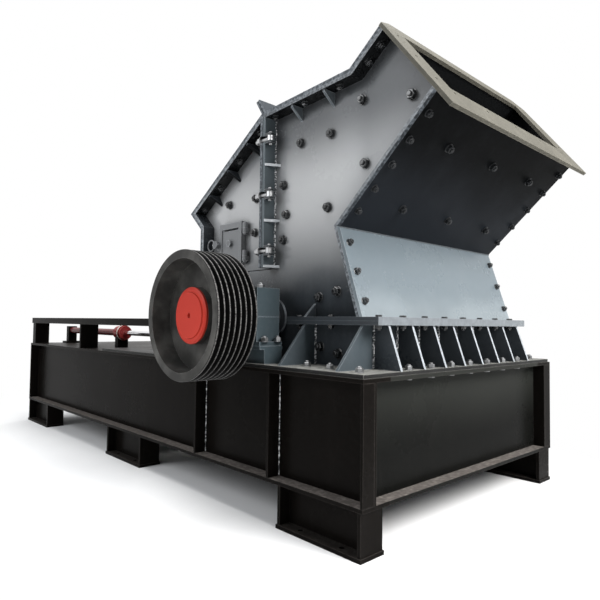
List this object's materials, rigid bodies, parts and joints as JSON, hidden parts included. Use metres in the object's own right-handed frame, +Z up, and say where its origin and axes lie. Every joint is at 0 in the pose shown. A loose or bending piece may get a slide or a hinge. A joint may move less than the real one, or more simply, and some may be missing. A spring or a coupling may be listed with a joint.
{
  "type": "hammer crusher",
  "caption": "Steel-plate hammer crusher on a long base frame, with a slanted feed chute, a grooved drive pulley and a rear housing half that slides open on guide beams.",
  "frame": {"origin": "on the floor under the middle of the bounding box", "axes": "+X towards the feed chute, -Y towards the drive pulley, +Z up"},
  "size_m": [4.9939, 2.397, 2.6349],
  "materials": {
    "housing_paint": "semi-gloss slate grey paint",
    "base_paint": "gloss black paint",
    "flange_paint": "dusty grey paint",
    "cylinder_red": "gloss red paint",
    "chrome_rod": "hard chrome",
    "steel": "machined",
    "pulley_black": "black paint, bright grooves",
    "cap_red": "red paint",
    "rotor_iron": "as cast"
  },
  "bodies": {
    "base": {"base_beams": "base_paint", "base_end_walls": "base_paint", "base_stiffeners": "base_paint", "cross_members": "base_paint", "deck_plate": "base_paint", "legs": "base_paint", "leg_ends": "base_paint", "foot_plates": "base_paint", "body_flange": "base_paint", "skirt_walls": "housing_paint", "skirt_ribs": "housing_paint", "skirt_gussets": "housing_paint", "skirt_ledge": "housing_paint", "front_ledge": "housing_paint", "front_side_plates": "housing_paint", "front_wall": "housing_paint", "chute_underside": "housing_paint", "chute_back": "housing_paint", "front_roof": "housing_paint", "front_gussets": "housing_paint", "feed_flange": "flange_paint", "front_split_flange": "housing_paint", "clamp_lugs": "housing_paint", "swing_bolts": "housing_paint", "seal_covers": "housing_paint", "bearing_pedestals": "housing_paint", "bearing_blocks": "housing_paint", "guide_beams": "base_paint", "guide_posts": "base_paint", "cylinder_barrels": "cylinder_red", "cylinder_heads": "cylinder_red", "cylinder_brackets": "base_paint"},
    "rear_housing": {"rear_side_plates": "housing_paint", "rear_roof": "housing_paint", "rear_wall": "housing_paint", "rear_return": "housing_paint", "rear_split_flange": "housing_paint", "rear_gussets": "housing_paint", "slide_shoes": "housing_paint", "piston_rods": "chrome_rod", "clamp_nuts": "housing_paint", "door_frame": "housing_paint"},
    "inspection_door": {"door": "housing_paint", "door_latch": "housing_paint"},
    "rotor": {"shaft": "steel", "pulley": "pulley_black", "hub_cap": "cap_red", "rotor_discs": "rotor_iron", "hammer_pins": "steel", "hammers": "rotor_iron"}
  },
  "joints": [
    {"name": "rotor_spin", "type": "hinge", "parent": "base", "child": "rotor", "pos_m": [1.19305, 0.18, 1.105], "axis": [0, 1, 0], "continuous": true},
    {"name": "rear_slide", "type": "slide", "parent": "base", "child": "rear_housing", "axis": [-1, 0, 0], "range_m": [0, 0.95]},
    {"name": "door_swing", "type": "hinge", "parent": "rear_housing", "child": "inspection_door", "pos_m": [0.91505, -0.556, 1.603], "axis": [0, 0, 1], "range_deg": [0, 110]}
  ]
}
